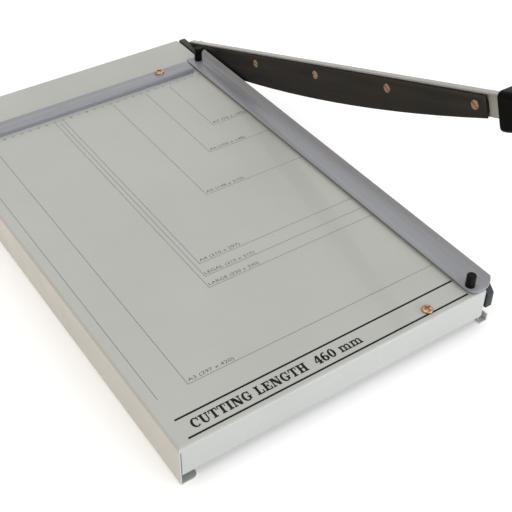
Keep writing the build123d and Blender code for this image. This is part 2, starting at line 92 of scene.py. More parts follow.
# paper sizes in millimetres: width from the cut, length from the zero line, printed words
PAPERS = (
    (297, 420, "A3 (297 x 420)"),
    (220, 330, "LARGE (220 x 330)"),
    (215, 315, "LEGAL (215 x 315)"),
    (210, 297, "A4 (210 x 297)"),
    (148, 210, "A5 (148 x 210)"),
    (105, 148, "A6 (105 x 148)"),
    (74, 105, "A7 (74 x 105)"),
)

# ------------------------------------------------------------------ sizes of the screws
SHANK_RADIUS = 0.0025
SUNK_DEPTH = 0.002
SLOT_DEPTH = 0.0009

# ------------------------------------------------------------------ how edges are treated
MERGE_DISTANCE = 1e-6
FLAT_ANGLE = radians(0.4)
CREASE_ANGLE = radians(32.0)
BEVEL_ANGLE = radians(40.0)

# colour sockets of a Mix node
MIX_FIRST, MIX_SECOND, MIX_RESULT = 6, 7, 2


def colour_property(words, default):
    """A colour that the panel shows."""
    return FloatVectorProperty(
        name=words, description=f"Colour of the {words.lower()}", subtype="COLOR",
        size=3, min=0.0, max=1.0, default=default,
    )


def length_property(words, default):
    """A length that the panel shows."""
    return FloatProperty(
        name=words, description=f"{words} in metres", unit="LENGTH", min=0.0, default=default,
        precision=5,
    )


class CutterPaintSettings(bpy.types.PropertyGroup):
    """Colours of the painted sheet metal and its surface."""

    table: colour_property("Table paint", (0.458, 0.462, 0.435))
    bars: colour_property("Fence and clamp paint", (0.272, 0.279, 0.302))
    arm: colour_property("Arm paint", (0.31, 0.313, 0.293))
    roughness: FloatProperty(
        name="Roughness", description="Roughness of the enamel", min=0.0, max=1.0, default=0.32,
    )


class CutterMetalSettings(bpy.types.PropertyGroup):
    """Colours of the bare and plated metals and of the plastics."""

    blade: colour_property("Blade steel", (0.020, 0.018, 0.0155))
    bed_knife: colour_property("Bed knife", (0.013, 0.0125, 0.0145))
    copper: colour_property("Coppered screws", (0.66, 0.44, 0.29))
    zinc: colour_property("Zinc plate", (0.60, 0.61, 0.60))
    spring: colour_property("Spring steel", (0.30, 0.30, 0.31))
    bronze: colour_property("Bronze bush", (0.55, 0.38, 0.18))
    plastic: colour_property("Black plastic", (0.0022, 0.0022, 0.0022))
    nylon: colour_property("Nylon", (0.78, 0.78, 0.74))


class CutterPrintSettings(bpy.types.PropertyGroup):
    """Sizes and ink of the print on the table."""

    ink: colour_property("Ink", (0.006, 0.006, 0.006))
    faint_ink: colour_property("Fine ink", (0.085, 0.085, 0.080))
    line_width: length_property("Fine line width", 0.00045)
    rule_width: length_property("Thick rule width", 0.0019)
    label_height: length_property("Label letter height", 0.0036)
    label_length: length_property("Length of a label of 14 letters", 0.0455)
    title_height: length_property("Title letter height", 0.0098)
    title_length: length_property("Title length", 0.172)
    number_height: length_property("Scale number height", 0.0023)


class CutterScrewSettings(bpy.types.PropertyGroup):
    """Sizes of the screw heads."""

    pan_radius: length_property("Pan head radius", 0.0056)
    pan_height: length_property("Pan head height", 0.0028)
    sunk_radius: length_property("Countersunk head radius", 0.0045)
    recess: length_property("Recess depth", 0.0015)


class CutterStageSettings(bpy.types.PropertyGroup):
    """Camera and lights."""

    lens: FloatProperty(
        name="Lens", description="Focal length in millimetres", min=10.0, default=69.534,
    )
    azimuth: FloatProperty(
        name="Azimuth", description="Direction of view round the cutter", subtype="ANGLE",
        default=radians(-34.3816),
    )
    elevation: FloatProperty(
        name="Elevation", description="Height of the view", subtype="ANGLE",
        default=radians(41.1088),
    )
    roll: FloatProperty(
        name="Roll", description="Roll of the camera", subtype="ANGLE", default=radians(0.4482),
    )
    distance: length_property("Distance to the aim", 0.941785)
    key: FloatProperty(
        name="Key light", description="Power of the large soft light", unit="POWER", default=10.0,
    )
    front: FloatProperty(
        name="Front light", description="Power of the wide cool light before the cutter",
        unit="POWER", default=8.0,
    )
    edge: FloatProperty(
        name="Edge light", description="Power of the light that draws a line along the front fold",
        unit="POWER", default=8.5,
    )
    side: FloatProperty(
        name="Side light", description="Power of the low warm light beside the left wall",
        unit="POWER", default=2.2,
    )
    sky: FloatProperty(
        name="Surroundings", description="Strength of the white surroundings", default=0.95,
    )
    floor_glow: FloatProperty(
        name="Floor light", description="Light from within the white floor", default=0.20,
    )


GROUPS = (
    ("cutter_paint", CutterPaintSettings),
    ("cutter_metal", CutterMetalSettings),
    ("cutter_print", CutterPrintSettings),
    ("cutter_screws", CutterScrewSettings),
    ("cutter_stage", CutterStageSettings),
)


# ------------------------------------------------------------------ material helpers
class Shader:
    """A new material with a Principled surface, and short ways to add its nodes."""

    def __init__(self, name):
        self.material = bpy.data.materials.new(name)
        self.material.use_nodes = True
        self.tree = self.material.node_tree
        self.surface = self.tree.nodes["Principled BSDF"]
        self.place = self.tree.nodes.new("ShaderNodeTexCoord").outputs["Object"]

    def link(self, source, target):
        self.tree.links.new(source, target)

    def feed(self, name, source):
        """A node's output into a named socket of the surface."""
        self.link(source, self.surface.inputs[name])

    def set(self, name, value):
        """A plain value on a named socket of the surface."""
        self.surface.inputs[name].default_value = value

    def stretched(self, stretch, turn=(0.0, 0.0, 0.0)):
        """Object coordinates turned, then stretched, for a grain along one way."""
        turned = self.tree.nodes.new("ShaderNodeMapping")
        turned.inputs["Rotation"].default_value = turn
        scaled = self.tree.nodes.new("ShaderNodeMapping")
        scaled.inputs["Scale"].default_value = stretch
        self.link(self.place, turned.inputs["Vector"])
        self.link(turned.outputs["Vector"], scaled.inputs["Vector"])
        return scaled.outputs["Vector"]

    def noise(self, scale, detail=3.0, rough=0.5, place=None):
        node = self.tree.nodes.new("ShaderNodeTexNoise")
        node.inputs["Scale"].default_value = scale
        node.inputs["Detail"].default_value = detail
        node.inputs["Roughness"].default_value = rough
        self.link(place or self.place, node.inputs["Vector"])
        return node.outputs["Fac"]

    def spread(self, value, low, high, start=0.3, end=0.7):
        """A noise value spread from low to high."""
        node = self.tree.nodes.new("ShaderNodeMapRange")
        ends = {"From Min": start, "From Max": end, "To Min": low, "To Max": high}
        for key, number in ends.items():
            node.inputs[key].default_value = number
        self.link(value, node.inputs["Value"])
        return node.outputs["Result"]

    def blend(self, share, first, second):
        """Two colours, or nodes that give colours, mixed by a share."""
        node = self.tree.nodes.new("ShaderNodeMix")
        node.data_type = "RGBA"
        self.link(share, node.inputs["Factor"])
        for key, colour in ((MIX_FIRST, first), (MIX_SECOND, second)):
            if isinstance(colour, bpy.types.NodeSocket):
                self.link(colour, node.inputs[key])
            else:
                node.inputs[key].default_value = (*colour, 1.0)
        return node.outputs[MIX_RESULT]

    def bump(self, height, strength, distance, under=None):
        node = self.tree.nodes.new("ShaderNodeBump")
        node.inputs["Strength"].default_value = strength
        node.inputs["Distance"].default_value = distance
        self.link(height, node.inputs["Height"])
        if under is not None:
            self.link(under, node.inputs["Normal"])
        return node.outputs["Normal"]


def tint(colour, share):
    """A colour made lighter or darker."""
    return tuple(min(1.0, part * share) for part in colour)


def enamel(name, colour, roughness, coat=0.25, coat_roughness=0.16):
    """Baked enamel: fine orange peel, faint clouding and rubbed patches."""
    shader = Shader(name)
    clouds = shader.spread(shader.noise(9.0, 5.0, 0.55), 0.0, 1.0)
    specks = shader.spread(shader.noise(700.0, 2.0), 0.0, 1.0, 0.62, 0.72)
    base = shader.blend(clouds, tint(colour, 0.965), tint(colour, 1.03))
    shader.feed("Base Color", shader.blend(specks, base, tint(colour, 0.90)))
    rubbed = shader.noise(26.0, 6.0, 0.6)
    shader.feed("Roughness", shader.spread(rubbed, roughness - 0.05, roughness + 0.09))
    peel = shader.bump(shader.noise(420.0, 2.0), 0.22, 0.00012)
    shader.feed("Normal", shader.bump(shader.noise(60.0, 1.0), 0.05, 0.0006, peel))
    shader.set("Coat Weight", coat)
    shader.set("Coat Roughness", coat_roughness)
    return shader.material


def steel(
    name, colour, roughness, turn=(0.0, 0.0, 0.0), stretch=(900.0, 30.0, 900.0), metallic=1.0,
):
    """Ground or rolled steel: a grain along one way, stains and handling marks."""
    shader = Shader(name)
    grain = shader.noise(1.0, 4.0, 0.6, shader.stretched(stretch, turn))
    stains = shader.spread(shader.noise(22.0, 6.0, 0.6), 0.0, 1.0, 0.42, 0.66)
    base = shader.blend(grain, tint(colour, 0.80), tint(colour, 1.22))
    warm = (colour[0] * 1.25, colour[1] * 1.10, colour[2] * 0.95)
    shader.feed("Base Color", shader.blend(stains, base, warm))
    shader.feed("Roughness", shader.spread(grain, roughness - 0.07, roughness + 0.10))
    shader.feed("Normal", shader.bump(grain, 0.16, 0.00006))
    shader.set("Metallic", metallic)
    return shader.material


def plating(name, colour, roughness):
    """Thin plating on small fasteners: blotches of tarnish and a fine scratch."""
    shader = Shader(name)
    tarnish = shader.spread(shader.noise(380.0, 5.0, 0.6), 0.0, 1.0, 0.38, 0.68)
    dull = (colour[0] * 0.55, colour[1] * 0.50, colour[2] * 0.45)
    shader.feed("Base Color", shader.blend(tarnish, colour, dull))
    shader.feed("Roughness", shader.spread(tarnish, roughness - 0.06, roughness + 0.2))
    shader.feed("Normal", shader.bump(shader.noise(2600.0, 2.0), 0.12, 0.00004))
    shader.set("Metallic", 1.0)
    return shader.material


def moulded(name, colour, roughness, grain=1500.0, gloss=0.5):
    """Moulded plastic: a spark-eroded grain, worn smoother where it is held."""
    shader = Shader(name)
    wear = shader.spread(shader.noise(34.0, 4.0, 0.55), 0.0, 1.0, 0.4, 0.68)
    shader.feed("Base Color", shader.blend(wear, colour, tint(colour, 1.7)))
    shader.feed("Roughness", shader.spread(wear, roughness + 0.1, roughness - 0.06))
    shader.feed("Normal", shader.bump(shader.noise(grain, 2.0), 0.3, 0.00009))
    shader.set("Specular IOR Level", gloss)
    return shader.material


def ink(name, colour):
    """Screen-printed ink with a slightly uneven film."""
    shader = Shader(name)
    film = shader.spread(shader.noise(650.0, 4.0, 0.6), 0.0, 1.0)
    shader.feed("Base Color", shader.blend(film, colour, tint(colour, 1.9)))
    shader.feed("Roughness", shader.spread(film, 0.42, 0.58))
    shader.set("Specular IOR Level", 0.15)
    return shader.material


# ------------------------------------------------------------------ mesh helpers
def new_piece(name, mesh, material, body, slot, *nodes):
    """A finished piece at the origin: its material, its body and what it replaces. Its slot is not
    used.

    A piece given no body, such as a leaf spring that bends between two bodies, is attached to none.
    """
    mesh.name = name
    piece = bpy.data.objects.new(name, mesh)
    bpy.context.scene.collection.objects.link(piece)
    mesh.materials.clear()
    mesh.materials.append(material)
    if body is not None:
        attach(piece, body)
    if nodes:
        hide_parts(*nodes)
    return piece


def paint_node(node, material):
    """A frame node keeps its shape and takes a material."""
    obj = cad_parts[node]
    obj.data.materials.clear()
    obj.data.materials.append(material)


def mesh_from(work, name):
    """A plain mesh of what was drawn in a bmesh, which is freed."""
    mesh = bpy.data.meshes.new(name)
    work.to_mesh(mesh)
    work.free()
    return mesh


def baked(obj):
    """A plain mesh of an object with all its modifiers, and the object removed."""
    graph = bpy.context.evaluated_depsgraph_get()
    graph.update()
    mesh = bpy.data.meshes.new_from_object(obj.evaluated_get(graph))
    bpy.data.objects.remove(obj)
    return mesh


def scratch_object(name, data):
    """A temporary object in the scene, for modifiers to work on."""
    obj = bpy.data.objects.new(name, data)
    bpy.context.scene.collection.objects.link(obj)
    return obj


def joined(name, meshes):
    """One mesh holding all the given ones."""
    work = bmesh.new()
    for mesh in meshes:
        work.from_mesh(mesh)
    result = mesh_from(work, name)
    for mesh in meshes:
        bpy.data.meshes.remove(mesh)
    return result


def lathe(name, profile, steps=40):
    """A closed solid turned about Z from (radius, height) points that start and end on the axis."""
    work = bmesh.new()
    angles = [2 * pi * i / steps for i in range(steps)]
    rings = [
        [
            work.verts.new((radius * cos(angle), radius * sin(angle), height))
            for angle in (angles if radius else angles[:1])
        ]
        for radius, height in profile
    ]
    for low, high in zip(rings, rings[1:]):
        for i in range(steps):
            j = (i + 1) % steps
            corners = [low[i % len(low)], low[j % len(low)], high[j % len(high)], high[i % len(high)]]
            work.faces.new(list(dict.fromkeys(corners)))
    bmesh.ops.recalc_face_normals(work, faces=work.faces)
    return mesh_from(work, name)


def block(name, size, centre=(0.0, 0.0, 0.0)):
    """A box mesh, used as a cutting tool."""
    work = bmesh.new()
    bmesh.ops.create_cube(work, size=1.0)
    bmesh.ops.scale(work, vec=size, verts=work.verts)
    bmesh.ops.translate(work, vec=centre, verts=work.verts)
    return mesh_from(work, name)


def cut(mesh, tools):
    """The mesh with each tool mesh taken out of it."""
    body = scratch_object("cut_body", mesh)
    cutters = [scratch_object("cut_tool", tool) for tool in tools]
    for cutter in cutters:
        modifier = body.modifiers.new("cut", "BOOLEAN")
        modifier.object = cutter
        modifier.operation = "DIFFERENCE"
        modifier.solver = "EXACT"
    result = baked(body)
    for cutter in cutters:
        bpy.data.objects.remove(cutter)
    return result


def smooth_by_angle(mesh):
    """Smooth shading, with edges sharper than the crease angle kept crisp."""
    work = bmesh.new()
    work.from_mesh(mesh)
    for face in work.faces:
        face.smooth = True
    for edge in work.edges:
        edge.smooth = len(edge.link_faces) == 2 and edge.calc_face_angle(0.0) < CREASE_ANGLE
    work.to_mesh(mesh)
    work.free()
    return mesh


def merged_copy(node):
    """A bmesh copy of a frame node, with its loose triangles joined at their corners."""
    work = bmesh.new()
    work.from_mesh(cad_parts[node].data)
    bmesh.ops.remove_doubles(work, verts=work.verts, dist=MERGE_DISTANCE)
    return work


def softened(node, width):
    """A copy of a frame node's mesh with its sharp edges rounded over."""
    work = merged_copy(node)
    bmesh.ops.dissolve_limit(
        work, angle_limit=FLAT_ANGLE, verts=work.verts, edges=work.edges,
        use_dissolve_boundaries=False,
    )
    rounded = scratch_object(node, mesh_from(work, node))
    modifier = rounded.modifiers.new("edges", "BEVEL")
    modifier.width = width
    modifier.segments = 2
    modifier.limit_method = "ANGLE"
    modifier.angle_limit = BEVEL_ANGLE
    return smooth_by_angle(baked(rounded))


# ------------------------------------------------------------------ screws
def screw_tree():
    """Geometry nodes that set a screw on every point and turn each one a little."""
    tree = bpy.data.node_groups.new("Screws on points", "GeometryNodeTree")
    ports = tree.interface
    ports.new_socket("Points", in_out="INPUT", socket_type="NodeSocketGeometry")
    ports.new_socket("Screw", in_out="INPUT", socket_type="NodeSocketObject")
    lean = ports.new_socket("Lean", in_out="INPUT", socket_type="NodeSocketVector")
    lean.subtype = "EULER"
    size = ports.new_socket("Size", in_out="INPUT", socket_type="NodeSocketFloat")
    size.default_value = 1.0
    seed = ports.new_socket("Seed", in_out="INPUT", socket_type="NodeSocketInt")
    seed.default_value = 4
    ports.new_socket("Material", in_out="INPUT", socket_type="NodeSocketMaterial")
    ports.new_socket("Screws", in_out="OUTPUT", socket_type="NodeSocketGeometry")
    add, link = tree.nodes.new, tree.links.new
    given, result = add("NodeGroupInput"), add("NodeGroupOutput")
    shape = add("GeometryNodeObjectInfo")
    shape.transform_space = "ORIGINAL"
    shape.inputs["As Instance"].default_value = True
    turn = add("FunctionNodeRandomValue")
    turn.data_type = "FLOAT_VECTOR"
    turn.inputs["Min"].default_value = (0.0, 0.0, -0.5)
    turn.inputs["Max"].default_value = (0.0, 0.0, 0.5)
    place = add("GeometryNodeInstanceOnPoints")
    spin = add("GeometryNodeRotateInstances")
    spin.inputs["Local Space"].default_value = True
    real = add("GeometryNodeRealizeInstances")
    paint = add("GeometryNodeSetMaterial")
    link(given.outputs["Screw"], shape.inputs["Object"])
    link(given.outputs["Seed"], turn.inputs["Seed"])
    link(given.outputs["Points"], place.inputs["Points"])
    link(shape.outputs["Geometry"], place.inputs["Instance"])
    link(given.outputs["Lean"], place.inputs["Rotation"])
    link(given.outputs["Size"], place.inputs["Scale"])
    link(place.outputs["Instances"], spin.inputs["Instances"])
    link(turn.outputs["Value"], spin.inputs["Rotation"])
    link(spin.outputs["Instances"], real.inputs["Geometry"])
    link(real.outputs["Geometry"], paint.inputs["Geometry"])
    link(given.outputs["Material"], paint.inputs["Material"])
    link(paint.outputs["Geometry"], result.inputs["Screws"])
    return tree


def set_input(modifier, name, value):
    """A modifier's input, found by the identifier of its named socket."""
    for item in modifier.node_group.interface.items_tree:
        if item.in_out == "INPUT" and item.name == name:
            modifier[item.identifier] = value
            return
    raise ValueError(f"the tree has no input named {name}")


def screws_at(points, screw, lean, seed, material):
    """One plain mesh of screws at the given points."""
    mesh = bpy.data.meshes.new("points")
    mesh.from_pydata([tuple(point) for point in points], [], [])
    holder = scratch_object("points", mesh)
    prototype = scratch_object("prototype", screw)
    modifier = holder.modifiers.new("screws", "NODES")
    modifier.node_group = bpy.data.node_groups.get("Screws on points") or screw_tree()
    values = {"Screw": prototype, "Lean": lean, "Seed": seed, "Material": material}
    for name, value in values.items():
        set_input(modifier, name, value)
    result = baked(holder)
    bpy.data.objects.remove(prototype)
    return smooth_by_angle(result)


def pan_screw(radius, height, recess, shank_length):
    """A pan head with a crossed recess, on a plain shank. Its seat is at Z = 0."""
    rim = 0.32 * height
    profile = [
        (0.0, -shank_length), (SHANK_RADIUS, -shank_length), (SHANK_RADIUS, 0.0), (radius, 0.0),
        (radius, rim),
    ]
    steps = 9
    for i in range(1, steps):
        angle = pi / 2 * i / steps
        profile.append((radius * cos(angle) ** 0.72, rim + (height - rim) * sin(angle)))
    profile.append((0.0, height))
    span, wing = 1.24 * radius, 0.22 * radius
    pit = [
        (0.0, height - 1.2 * recess), (wing, height - recess), (0.34 * radius, height + recess),
        (0.0, height + recess),
    ]
    tools = [
        block("recess", (span, wing, 2 * recess), (0.0, 0.0, height)),
        block("recess", (wing, span, 2 * recess), (0.0, 0.0, height)),
        lathe("recess", pit, 16),
    ]
    return cut(lathe("pan_screw", profile), tools)


def slotted_screw(radius, length):
    """A flat countersunk head with a slot, its face at Z = 0 and a softened rim."""
    edge = 0.00015
    profile = [
        (0.0, -length), (SHANK_RADIUS, -length), (SHANK_RADIUS, -SUNK_DEPTH), (radius, -edge),
        (radius - edge, 0.0), (0.0, 0.0),
    ]
    slot = block("slot", (0.26 * radius, 2.4 * radius, 2 * SLOT_DEPTH))
    return cut(lathe("slotted_screw", profile, 48), [slot])


def boxes_of_solids(node):
    """The low and high corners of each separate solid of a frame node."""
    work = merged_copy(node)
    left = set(work.verts)
    boxes = []
    while left:
        stack = [left.pop()]
        island = []
        while stack:
            vert = stack.pop()
            island.append(vert.co.copy())
            for edge in vert.link_edges:
                other = edge.other_vert(vert)
                if other in left:
                    left.remove(other)
                    stack.append(other)
        low = Vector([min(point[k] for point in island) for k in range(3)])
        high = Vector([max(point[k] for point in island) for k in range(3)])
        boxes.append((low, high))
    work.free()
    return sorted(boxes, key=lambda pair: (pair[0].x, pair[0].y))


# ------------------------------------------------------------------ print
def ribbon(work, start, end, width):
    """A flat strip between two points on the paper surface, given in the datums."""
    a, b = Vector((*start, 0.0)), Vector((*end, 0.0))
    along = (b - a).normalized()
    across = Vector((-along.y, along.x, 0.0)) * width / 2
    lift = DATUM + Vector((0.0, 0.0, INK_LIFT))
    stretch = along * width / 2
    a, b = a - stretch, b + stretch
    corners = (a - across, b - across, b + across, a + across)
    work.faces.new([work.verts.new(lift + corner) for corner in corners])


def words_mesh(words, height, length=None, weight=0.0, align="LEFT"):
    """Flat lettering in the built-in face, its capitals as high as given."""
    data = bpy.data.curves.new("words", "FONT")
    data.body = "H"
    data.resolution_u = 3
    probe = scratch_object("words", data)
    bpy.context.view_layer.update()
    scale = height / probe.dimensions.y
    data.body = words
    data.offset = weight
    data.fill_mode = "FRONT"
    mesh = baked(probe)
    bpy.data.curves.remove(data)
    mesh.transform(Matrix.Scale(scale, 4))
    xs = [v.co.x for v in mesh.vertices]
    low, high = min(xs), max(xs)
    stretch = length / (high - low) if length else 1.0
    start = {"LEFT": low, "CENTER": (low + high) / 2}[align]
    moved = Matrix.Translation((-start, 0.0, 0.0))
    mesh.transform(Matrix.Diagonal((stretch, 1.0, 1.0, 1.0)) @ moved)
    return mesh


def words_on_table(words, x, y, height, length=None, weight=0.0, align="LEFT"):
    """Lettering laid on the paper surface with its baseline at a point in the datums."""
    mesh = words_mesh(words, height, length, weight, align)
    mesh.transform(Matrix.Translation(DATUM + Vector((x, y, INK_LIFT))))
    return mesh


class SlabLetters:
    """Bold flat lettering with square serifs, drawn with capitals 1 high."""

    stem = 0.25
    thin = 0.13
    serif = 0.10
    overshoot = 0.02
    gap = 0.08
    word_gap = 0.42

    def __init__(self, words):
        self.work = bmesh.new()
        self.x = 0.0
        for letter in words:
            if letter == " ":
                self.x += self.word_gap
            else:
                self.x += self.SHAPES[letter](self) + self.gap

    def shape(self, *corners):
        """A flat face with the given corners, from the letter's own left side."""
        self.work.faces.new([self.work.verts.new((self.x + x, y, 0.0)) for x, y in corners])

    def bar(self, left, low, right, high):
        self.shape((left, low), (right, low), (right, high), (left, high))

    def upright(self, left, width, low=0.0, high=1.0, foot=True, head=True):
        """A stem, with serifs that stand out on both sides of it."""
        for wanted, start in ((foot, low), (head, high - self.thin)):
            if wanted:
                self.bar(left - self.serif, start, left + width + self.serif, start + self.thin)
        self.bar(left, low + self.thin * foot, left + width, high - self.thin * head)

    def bowl(self, left, right, low, high, start, end, walls, steps=28):
        """Part of an oval ring, with its own wall on the left and on the right."""
        inner = (left + walls[0], right - walls[1], low + self.thin, high - self.thin)
        rings = [
            ((side + other) / 2, (base + top) / 2, (other - side) / 2, (top - base) / 2)
            for side, other, base, top in (inner, (left, right, low, high))
        ]
        rim = []
        for i in range(steps + 1):
            angle = radians(start + (end - start) * i / steps)
            rim.append([
                (x + across * cos(angle), y + up * sin(angle)) for x, y, across, up in rings
            ])
        for (a, b), (c, d) in zip(rim, rim[1:]):
            self.shape(a, b, d, c)

    def letter_c(self):
        self.bowl(0.0, 0.86, -self.overshoot, 1.0 + self.overshoot, 42, 318, (self.stem, 0.16))
        self.bar(0.69, 0.60, 0.80, 1.0)
        return 0.82

    def letter_e(self):
        self.bar(0.0, 0.0, 0.77, self.thin)
        self.bar(0.0, 1.0 - self.thin, 0.75, 1.0)
        self.bar(self.serif, self.thin, self.serif + self.stem, 1.0 - self.thin)
        self.bar(0.66, self.thin, 0.77, 0.36)
        self.bar(0.64, 0.66, 0.75, 1.0 - self.thin)
        self.bar(self.serif + self.stem, 0.44, 0.48, 0.56)
        self.bar(0.48, 0.32, 0.57, 0.68)
        return 0.77

    def letter_g(self):
        self.letter_c()
        self.bar(0.58, 0.10, 0.81, 0.37)
        self.bar(0.48, 0.37, 0.90, 0.49)
        return 0.90

    def letter_h(self):
        self.upright(self.serif, self.stem)
        self.upright(0.60, self.stem)
        self.bar(self.serif + self.stem, 0.44, 0.60, 0.56)
        return 0.95

    def letter_i(self):
        self.upright(self.serif, self.stem)
        return self.stem + 2 * self.serif

    def letter_l(self):
        self.upright(self.serif, self.stem, self.thin, foot=False)
        self.bar(0.0, 0.0, 0.75, self.thin)
        self.bar(0.64, self.thin, 0.75, 0.40)
        return 0.75

    def letter_n(self):
        left, right = self.serif + self.thin, 0.74
        self.upright(self.serif, self.thin, high=1.0 - self.thin, head=False)
        self.bar(0.0, 1.0 - self.thin, left, 1.0)
        self.shape((left, 0.66), (0.62, 0.0), (right, 0.0), (right, 0.36), (0.40, 1.0), (left, 1.0))
        self.upright(right, self.thin, foot=False)
        return right + self.thin + self.serif

    def letter_t(self):
        width, tip = 0.81, 0.10
        self.upright((width - self.stem) / 2, self.stem, high=1.0 - self.thin, head=False)
        self.bar(0.0, 1.0 - self.thin, width, 1.0)
        self.bar(0.0, 0.64, tip, 1.0 - self.thin)
        self.bar(width - tip, 0.64, width, 1.0 - self.thin)
        return width

    def letter_u(self):
        self.upright(self.serif, self.stem, 0.36, foot=False)
        right = 0.67
        self.upright(right, self.thin, 0.36, foot=False)
        self.bowl(
            self.serif, right + self.thin, -self.overshoot, 0.74, 180, 360, (self.stem, self.thin),
        )
        return right + self.thin + self.serif

    def small_m(self):
        stem, pitch, x_height = 0.20, 0.42, 0.70
        self.bar(-0.02, x_height - self.thin, 0.08, x_height)
        self.upright(0.08, stem, high=x_height, head=False)
        for i in (1, 2):
            left = 0.08 + i * pitch
            self.upright(left, stem, high=0.43, head=False)
            self.bowl(left - 0.32, left + stem, 0.16, x_height + self.overshoot, 0, 150, (0.10, stem))
        return 1.22

    def digit_4(self):
        self.upright(0.36, self.stem, high=0.25, head=False)
        self.bar(0.0, 0.25, 0.72, 0.37)
        self.bar(0.36, 0.37, 0.61, 1.0)
        self.shape((0.0, 0.37), (0.15, 0.37), (0.36, 0.72), (0.36, 1.0))
        return 0.72

    def digit_6(self):
        self.bowl(0.0, 0.70, -self.overshoot, 0.64, 0, 360, (0.24, 0.24))
        self.bowl(0.0, 0.80, -self.overshoot, 1.0 + self.overshoot, 62, 196, (0.24, 0.24))
        return 0.70

    def digit_0(self):
        self.bowl(0.0, 0.72, -self.overshoot, 1.0 + self.overshoot, 0, 360, (0.24, 0.24))
        return 0.72

    SHAPES = {
        "C": letter_c, "E": letter_e, "G": letter_g, "H": letter_h, "I": letter_i, "L": letter_l,
        "N": letter_n, "T": letter_t, "U": letter_u, "m": small_m, "4": digit_4, "6": digit_6,
        "0": digit_0,
    }

    def on_table(self, x, y, height, length):
        """The lettering laid on the paper surface, with its start at a point in the datums."""
        mesh = mesh_from(self.work, "letters")
        mesh.transform(
            Matrix.Translation(DATUM + Vector((x, y, INK_LIFT)))
            @ Matrix.Diagonal((length / (self.x - self.gap), height, 1.0, 1.0))
        )
        return mesh


# ------------------------------------------------------------------ pieces
class CUTTER_OT_table(bpy.types.Operator):
    """Enamel on the folded sheet of the table"""

    bl_idname = "cutter.table"
    bl_label = "Table"

    def execute(self, context):
        paint = context.scene.cutter_paint
        paint_node("table", enamel("table_enamel", paint.table, paint.roughness + 0.06, 0.4, 0.09))
        return {"FINISHED"}


class CUTTER_OT_outlines(bpy.types.Operator):
    """Fine outlines of the paper sizes and the two thick rules"""

    bl_idname = "cutter.outlines"
    bl_label = "Printed outlines"

    def execute(self, context):
        settings = context.scene.cutter_print
        work = bmesh.new()
        for width, length, _words in PAPERS:
            x, y = -width / 1000, -length / 1000
            ribbon(work, (x, OUTLINE_START_Y), (x, y), settings.line_width)
            ribbon(work, (x, y), (CLAMP_EDGE, y), settings.line_width)
        ribbon(work, (MARGIN_X, OUTLINE_START_Y), (MARGIN_X, MARGIN_END_Y), settings.line_width)
        new_piece(
            "print_outlines", mesh_from(work, "print_outlines"),
            ink("fine_ink", settings.faint_ink), "base", "black_plastic",
        )
        work = bmesh.new()
        for y in RULES_Y:
            ribbon(work, (RULE_START_X, y), (CLAMP_EDGE - RULE_CLEARANCE, y), settings.rule_width)
        new_piece(
            "print_rules", mesh_from(work, "print_rules"), ink("rule_ink", settings.ink), "base",
            "black_plastic",
        )
        return {"FINISHED"}


class CUTTER_OT_words(bpy.types.Operator):
    """Paper names, centimetre numbers and the cutting length"""

    bl_idname = "cutter.words"
    bl_label = "Printed words and numbers"

    def execute(self, context):
        settings = context.scene.cutter_print
        labels = [
            words_on_table(
                words, -width / 1000 + LABEL_OFFSET[0], -length / 1000 + LABEL_OFFSET[1],
                settings.label_height, settings.label_length * len(words) / LABEL_LETTERS,
            )
            for width, length, words in PAPERS
        ]
        new_piece(
            "print_labels", joined("print_labels", labels), ink("label_ink", settings.faint_ink),
            "base", "black_plastic",
        )
        numbers = [
            words_on_table(
                str(i), -i / 100, NUMBERS_Y, settings.number_height, weight=0.01, align="CENTER",
            )
            for i in NUMBERS
        ]
        new_piece(
            "print_numbers", joined("print_numbers", numbers), ink("number_ink", settings.faint_ink),
            "base", "black_plastic",
        )
        title = SlabLetters("CUTTING LENGTH  460 mm").on_table(
            *TITLE_CORNER, settings.title_height, settings.title_length,
        )
        new_piece("print_title", title, ink("title_ink", settings.ink), "base", "black_plastic")
        return {"FINISHED"}


class CUTTER_OT_bars(bpy.types.Operator):
    """Fence and clamp bar: folded strips with softened edges and grey enamel"""

    bl_idname = "cutter.bars"
    bl_label = "Fence and clamp bar"

    def execute(self, context):
        paint = context.scene.cutter_paint
        grey = enamel("bar_enamel", paint.bars, paint.roughness + 0.06)
        new_piece("fence_strip", softened("fence", 0.00025), grey, "base", "grey_paint", "fence")
        new_piece(
            "clamp_strip", softened("clamp_bar", 0.00025), grey, "clamp", "grey_paint", "clamp_bar",
        )
        return {"FINISHED"}


class CUTTER_OT_studs(bpy.types.Operator):
    """Guide studs of the clamp bar, with their clips and bushes"""

    bl_idname = "cutter.studs"
    bl_label = "Guide studs"

    def execute(self, context):
        metal = context.scene.cutter_metal
        paint_node("guide_studs", moulded("stud_plastic", metal.plastic, 0.34, gloss=0.12))
        paint_node("guide_bushes", moulded("bush_nylon", metal.nylon, 0.45, 900.0))
        paint_node("stud_clips", plating("clip_steel", metal.spring, 0.36))
        return {"FINISHED"}


class CUTTER_OT_bed_knife(bpy.types.Operator):
    """Blackened bed knife with its screws"""

    bl_idname = "cutter.bed_knife"
    bl_label = "Bed knife"

    def execute(self, context):
        metal = context.scene.cutter_metal
        black = steel("bed_knife_black", metal.bed_knife, 0.48, metallic=0.2)
        new_piece(
            "knife_bar", softened("bed_knife", 0.0003), black, "base", "black_steel", "bed_knife",
        )
        paint_node("bed_knife_screws", plating("bed_screw_zinc", metal.zinc, 0.32))
        return {"FINISHED"}


class CUTTER_OT_arm(bpy.types.Operator):
    """Painted arm and its bush"""

    bl_idname = "cutter.arm"
    bl_label = "Arm"

    def execute(self, context):
        paint = context.scene.cutter_paint
        paint_node("arm", enamel("arm_enamel", paint.arm, paint.roughness + 0.04))
        paint_node("pivot_bush", plating("bush_bronze", context.scene.cutter_metal.bronze, 0.3))
        return {"FINISHED"}


